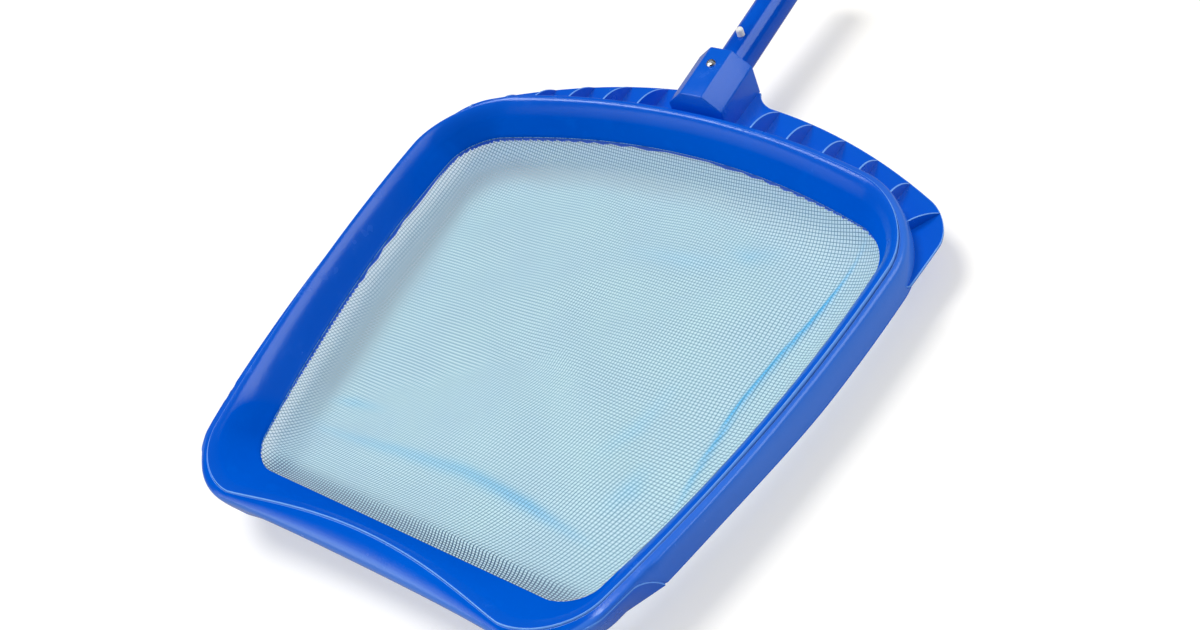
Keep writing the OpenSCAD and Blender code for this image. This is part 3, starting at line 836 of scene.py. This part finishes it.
def net_surface(depth):
    """Loops from the mouth down to the floor of the bag and in to its middle. Gives the points,
    the cloth's own coordinates, the number of loops on the wall, the rim and the look."""
    edge = toward(MOUTH_LINE, CREST_LINE, 2.0)
    fold = station(FOLD_LINE, nearest_stations(edge, FOLD_LINE))
    wall_steps, floor_steps = 46, 60
    start_z, floor_z, centre = HEM_LOW + 0.6, 1.2 - depth, np.array([0, 20.0])
    t = np.linspace(0, 1, wall_steps)[:, None] ** 1.5
    wall = raised(mix(edge, fold, t[..., None]), mix(start_z, floor_z, 1 - (1 - t) ** 2.6))
    r = 1 - (1 - np.linspace(0, 1, floor_steps + 1)[1:, None, None]) ** 1.15
    floor = raised(mix(fold[None], centre, r * NEARLY_ALL), floor_z)
    points = np.concatenate([wall, floor])
    # how much longer the cloth is than its plan, from the fold outwards to each loop
    steps = np.linalg.norm(np.diff(wall, axis=0), axis=-1)
    plan = np.linalg.norm(np.diff(wall[..., :2], axis=0), axis=-1)
    none = np.zeros((1, len(edge)))
    spare = np.concatenate([np.cumsum((steps - plan)[::-1], 0)[::-1], none])
    way = (edge - fold) / np.linalg.norm(edge - fold, axis=1, keepdims=True)
    uv = points[..., :2].copy()
    uv[:wall_steps] += way[None] * spare[..., None]
    # along the front the threads lean one way near the ring and the other way further in, most
    # of all at the left
    x, away = points[..., 0], points[..., 1] - MOUTH.front_y
    further = mix(1.0, 0.5, smooth(x, -140, 140)) * np.clip((away - 18) / 150, 0, 1)
    beside = 1 - smooth(np.abs(x), 30, 190)
    uv[..., 0] += 15 * np.clip(away / 20, 0, 1) * beside - 72 * further
    # The way out to the ring in plan, and the distance in metres from where its plastic ends, up
    # to a limit. At the left and the rear the plastic reaches further over the cloth.
    length = np.concatenate([none, np.cumsum(steps, 0)])
    reach = 2.4 + 0.9 * np.clip(1.4 * (way[:, 1] - way[:, 0]), -1, 1)
    limit = 0.05
    rim = np.zeros(points.shape)
    rim[..., :2], rim[..., 2] = way, limit
    rim[:wall_steps, :, 2] = np.minimum((length - reach) / 1000, limit)
    # the crease, the band along the front with its painted shade, and the painted shade of the
    # valley at the left
    band = (1 - smooth(np.abs(x), 128, 150)) * np.exp(-(away / 20) ** 4)
    left = np.clip(0.3 * way[:, 1] - way[:, 0], 0, 1)
    down = np.concatenate([length, length[-1] + np.linalg.norm(floor[..., :2] - fold, axis=-1)])
    valley = left * np.exp(-((down - 30) / 12) ** 2)
    look = np.stack([crease_strength(points[..., :2]), band, valley], -1)
    return points, uv, wall_steps, rim, look


# ---- Properties and operators ----

def setting(name, description, default, low, high, **kind):
    """One number that the panel shows."""
    return bpy.props.FloatProperty(name=name, description=description, default=default, min=low,
                                   max=high, **kind)


class SKIMMER_PG_net(bpy.types.PropertyGroup):
    """Settings of the net"""
    depth: setting("Depth", "Depth of the net below the frame, in millimetres", NET_DEPTH, 20, 26)
    pitch: setting("Pitch", "Distance from one thread to the next", 0.0026, 0.001, 0.006,
                   subtype="DISTANCE", unit="LENGTH")
    thread: setting("Thread", "Share of the pitch that a thread covers", 0.2, 0.1, 0.7,
                    subtype="FACTOR")
    slack: setting("Slack", "Height of the soft folds, in millimetres", 1.3, 0, 3)


class SKIMMER_PG_stage(bpy.types.PropertyGroup):
    """Strengths of the lights"""
    ambient: setting("Ambient", "Strength of the even studio light", 0.34, 0, 2)
    key: setting("Key", "Strength of the soft light above and to the left", 1.3, 0, 10)
    back: setting("Back", "Strength of the soft light behind and to the right", 1.2, 0, 10)
    front: setting("Front", "Strength of the low soft light at the front left", 0.9, 0, 10)


class SKIMMER_OT_clamp_ring(bpy.types.Operator):
    """Build the funnel-shaped ring around the mouth"""
    bl_idname = "skimmer.clamp_ring"
    bl_label = "Clamp ring"

    def execute(self, context):
        finish_blue(ring_piece("clamp_ring_skin", *clamp_ring_profiles()), "clamp_ring")
        return {"FINISHED"}


class SKIMMER_OT_outer_frame(bpy.types.Operator):
    """Build the frame: the outer wall with its rim, the flange, the ribs and the socket"""
    bl_idname = "skimmer.outer_frame"
    bl_label = "Outer frame"

    def execute(self, context):
        flange = stacked(*slab(flange_loop(), FLANGE_LOW, FLANGE_TOP, 0.5))
        for piece in (ring_piece("frame_wall", *rim_profiles()),
                      joined("rear_flange", [flange]), joined("gusset_ribs", rib_parts()),
                      joined("pole_socket", [socket_part()])):
            finish_blue(piece, "outer_frame")
        return {"FINISHED"}


class SKIMMER_OT_scoop_lip(bpy.types.Operator):
    """Build the lip along the front"""
    bl_idname = "skimmer.scoop_lip"
    bl_label = "Scoop lip"

    def execute(self, context):
        finish_blue(joined("front_lip", [stacked(*lip_profiles())]), "scoop_lip")
        return {"FINISHED"}


class SKIMMER_OT_net(bpy.types.Operator):
    """Build the slack mesh and its hem"""
    bl_idname = "skimmer.net"
    bl_label = "Net"

    def execute(self, context):
        settings = context.scene.skimmer_net
        points, uv, wall_steps, rim, look = net_surface(settings.depth)
        x, y, crease = points[..., 0], points[..., 1], look[..., 0]
        # soft folds where two waves and 1 add up to more than nought, and one on each crease
        inside = smooth(np.arange(len(points)), 2, wall_steps)[:, None]
        wave = (1 + np.sin(x / 19 + 1.3 * np.sin(y / 27)) * np.sin(y / 23 + 1.1)
                + 0.6 * np.sin((x + 0.6 * y) / 13 + 2 * np.sin(y / 41)))
        points[..., 2] += inside * settings.slack * (np.maximum(wave, 0) + 1.4 * crease)
        rows, columns = points.shape[:2]
        faces = grid_faces(rows, columns, False, True)[:, ::-1].tolist()
        faces.append([(rows - 1) * columns + k for k in range(columns - 1, -1, -1)])
        net = mesh_object("mesh_bag", points.reshape(-1, 3), faces, uv=uv.reshape(-1, 2) / 1000)
        for name, values in (("rim", rim), ("look", look)):
            mark = net.data.attributes.new(name, "FLOAT_VECTOR", "POINT")
            mark.data.foreach_set("vector", values.ravel().astype(np.float32))
        cloth = mesh_material(settings.pitch, settings.thread, (0.02, 0.14, 0.23),
                              (0.38, 0.79, 1.0), (0.0, 0.43, 0.84))
        finish_piece(net, cloth, "net_bag")
        hem = self.hem(cloth)
        return {"FINISHED"}

    def area(self, points):
        """Area of the loops of points, in square millimetres: half the product of the two
        diagonals of each face, as vectors, added up."""
        p = np.concatenate([points, points[:, :1]], 1)
        a, b, c, d = p[:-1, :-1], p[1:, :-1], p[1:, 1:], p[:-1, 1:]
        return np.linalg.norm(np.cross(c - a, d - b), axis=-1).sum() / 2

    def hem(self, cloth):
        """The folded edge of the mesh that the ring grips: a flat band with round edges."""
        edge = toward(MOUTH_LINE, CREST_LINE, 0.6)[:, None]
        way = (CREST_LINE - MOUTH_LINE) / SLOPE
        middle, radius = (HEM_LOW + HEM_TOP) / 2, (HEM_TOP - HEM_LOW) / 2 - 0.02
        a = np.radians(np.linspace(-90, 90, 7))
        across = np.concatenate([HEM_WIDTH - 1.2 + radius * np.cos(a),
                                 radius - radius * np.cos(a[::-1])])
        z = middle + radius * np.sin(np.concatenate([a, a[::-1]]))
        points = raised(edge + way[:, None] * across[:, None], z)
        faces = grid_faces(*points.shape[:2], True, True)[:, ::-1].tolist()
        points = points.reshape(-1, 3)
        hem = mesh_object("mesh_hem", points, faces, uv=points[:, :2] / 1000)
        return finish_piece(hem, cloth, "net_hem")


def leaf_arm(side):
    """Loops of one arm of the snap clip, where side is 1 for the upper arm and -1 for the lower.
    It is a strip of even thickness that follows a quarter circle, then a straight slope, then a
    level pad under the button."""
    def path(depth):
        # side view, along and up, at a depth under the strip's outer face
        radius, seat = LEAF_BEND - depth, LEAF_SEAT - depth
        a = np.radians(np.linspace(180, 90, 9))
        bend = np.stack([BUTTON_AT - LEAF_RUN + radius * np.cos(a), radius * np.sin(a)], 1)
        pad = np.array([[BUTTON_AT - LEAF_PAD, seat], [BUTTON_AT + LEAF_PAD, seat]])
        t = np.linspace(0, 1, 26)[1:, None]
        return np.concatenate([bend, mix(bend[-1:], pad[:1], t), mix(pad[:1], pad[1:], t[::6])])

    outer, inner = path(0), path(LEAF_THICK)
    across = np.array([-1, -1, 1, 1]) * LEAF_WIDTH / 2
    line = np.stack([inner, outer, outer, inner], 1)
    loops = np.stack([np.broadcast_to(across, line.shape[:2]), line[..., 0],
                      side * line[..., 1]], -1)
    return along_tube(loops[:, ::side])


class SKIMMER_OT_hardware(bpy.types.Operator):
    """Finish the tube, the screws and the snap clip"""
    bl_idname = "skimmer.hardware"
    bl_label = "Tube and hardware"

    def execute(self, context):
        screw = steel_material("plated_screw", (0.78, 0.79, 0.8), 0.24)
        white = plastic_material("button_nylon", (0.84, 0.84, 0.83), (0.88, 0.88, 0.87),
                                 (0.9, 0.9, 0.9), 0.34, 0.0001)
        for node, material in (("handle_tube", coating_material()), ("ring_screws", screw),
                               ("socket_screw", screw), ("upper_button", white),
                               ("lower_button", white)):
            coat(frame["nodes"][node], material)
        # each arm of the clip is a bent strip with a pad under its button
        strip = steel_material("spring_strip", (0.62, 0.62, 0.63), 0.3)
        for name, button, side in (("clip_arm_upper", "upper_button", 1),
                                   ("clip_arm_lower", "lower_button", -1)):
            points, faces = stacked(leaf_arm(side))[:2]
            arm = mesh_object(name, points, faces, range(len(faces)))
            coat(arm, strip)
            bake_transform(arm)
            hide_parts("clip_leaf")
        return {"FINISHED"}


class SKIMMER_OT_stage(bpy.types.Operator):
    """Set up the floor, the lights and the camera"""
    bl_idname = "skimmer.stage"
    bl_label = "Stage"

    def execute(self, context):
        settings = context.scene.skimmer_stage
        self.floor()
        self.world(settings.ambient)
        self.lamp("key_light", (-0.42, 0.04, 0.91), 22, settings.key)
        back = self.lamp("back_light", (0.50, 0.47, 0.73), 42, settings.back)
        front = self.lamp("front_light", (-0.55, -0.76, 0.34), 42, settings.front)
        back.use_shadow = front.use_shadow = False
        self.camera()
        return {"FINISHED"}

    def floor(self):
        """A wide sheet of matt paper just below the ground. It glows faintly for the camera, and
        it is darker in reflections."""
        paper, side, below = (0.91, 0.893, 0.85), 12.0, 0.0005
        n = Finish("floor_paper", paper)
        rays = n.add("LightPath").outputs
        n.look(Base_Color=n.blend(rays["Is Glossy Ray"], paper, tone(paper, 0.4)),
               Roughness=1.0, Specular_IOR_Level=0.0, Emission_Color=(1, 1, 0.95),
               Emission_Strength=n.math("MULTIPLY", rays["Is Camera Ray"], 0.14))
        mesh = bpy.data.meshes.new("floor")
        mesh.from_pydata([(-side, -side, 0), (side, -side, 0), (side, side, 0), (-side, side, 0)],
                         [], [(0, 1, 2, 3)])
        mesh.materials.append(n.material)
        floor = linked("floor", mesh)
        floor.location.z = -below

    def world(self, ambient):
        """Even light of the ambient strength all round. The camera sees it as plain white, and
        reflections see a tenth of it."""
        world = bpy.data.worlds.new("studio")
        world.use_nodes = True
        n = Nodes(world.node_tree)
        rays = n.add("LightPath").outputs
        seen = n.math("MAXIMUM", rays["Is Camera Ray"], rays["Is Transmission Ray"])
        plain = n.ramp(rays["Is Glossy Ray"], 0.0, 1.0, ambient, 0.1 * ambient)
        n.give(n.tree.nodes["Background"], Color=(1, 1, 1),
               Strength=n.ramp(seen, 0.0, 1.0, plain))
        bpy.context.scene.world = world

    def lamp(self, name, source, spread, strength):
        """A distant soft light from a direction, as wide in the sky as the spread in degrees."""
        light = bpy.data.lights.new(name, "SUN")
        light.angle, light.energy = math.radians(spread), strength
        lamp = linked(name, light)
        lamp.rotation_mode = "QUATERNION"
        lamp.rotation_quaternion = Vector(source).to_track_quat("Z", "Y")
        return light

    def camera(self):
        """The camera looks down on the head from its front right, and is rolled. The three
        angles turn it round the head, raise it, and tilt it about its own line of sight."""
        azimuth, elevation, roll = (math.radians(x) for x in (49.266, 45.419, -21.854))
        place = Vector((0.554083, -0.526098, 0.736692))
        back = Vector((math.sin(azimuth) * math.cos(elevation),
                       -math.cos(azimuth) * math.cos(elevation), math.sin(elevation)))
        right = Vector((math.cos(azimuth), math.sin(azimuth), 0))
        up = back.cross(right)
        across = math.cos(roll) * right + math.sin(roll) * up
        upward = -math.sin(roll) * right + math.cos(roll) * up
        data = bpy.data.cameras.new("camera")
        data.lens, data.sensor_width = 42.0, 36.0
        camera = linked("camera", data)
        turn = Matrix((across, upward, back)).transposed()
        camera.matrix_world = Matrix.LocRotScale(place, turn, None)
        bpy.context.scene.camera = camera


class SKIMMER_PT_panel(bpy.types.Panel):
    """The settings, and a button for each operator"""
    bl_label = "Leaf skimmer net"
    bl_idname = "SKIMMER_PT_panel"
    bl_space_type = "VIEW_3D"
    bl_region_type = "UI"
    bl_category = "Skimmer"

    def draw(self, context):
        layout = self.layout
        for group in ("skimmer_net", "skimmer_stage"):
            settings = getattr(context.scene, group)
            box = layout.box()
            for name in settings.__annotations__:
                box.prop(settings, name)
        for operator in OPERATORS:
            layout.operator(operator.bl_idname)


OPERATORS = (SKIMMER_OT_clamp_ring, SKIMMER_OT_outer_frame, SKIMMER_OT_scoop_lip,
             SKIMMER_OT_net, SKIMMER_OT_hardware, SKIMMER_OT_stage)
CLASSES = (SKIMMER_PG_net, SKIMMER_PG_stage, *OPERATORS, SKIMMER_PT_panel)


def register():
    """Adds the settings, the operators and the panel to Blender."""
    for item in CLASSES:
        bpy.utils.register_class(item)
    bpy.types.Scene.skimmer_net = bpy.props.PointerProperty(type=SKIMMER_PG_net)
    bpy.types.Scene.skimmer_stage = bpy.props.PointerProperty(type=SKIMMER_PG_stage)


def unregister():
    """Takes them away again."""
    del bpy.types.Scene.skimmer_stage
    del bpy.types.Scene.skimmer_net
    for item in reversed(CLASSES):
        bpy.utils.unregister_class(item)


def main():
    """Builds every piece and the stage."""
    register()
    for item in bpy.data.objects[:]:
        if item.type in {"LIGHT", "CAMERA"} or item.name == "Cube":
            bpy.data.objects.remove(item)
    bpy.context.scene.view_settings.view_transform = "Standard"
    for operator in OPERATORS:
        area, name = operator.bl_idname.split(".")
        getattr(getattr(bpy.ops, area), name)()


if __name__ == "__main__":
    main()
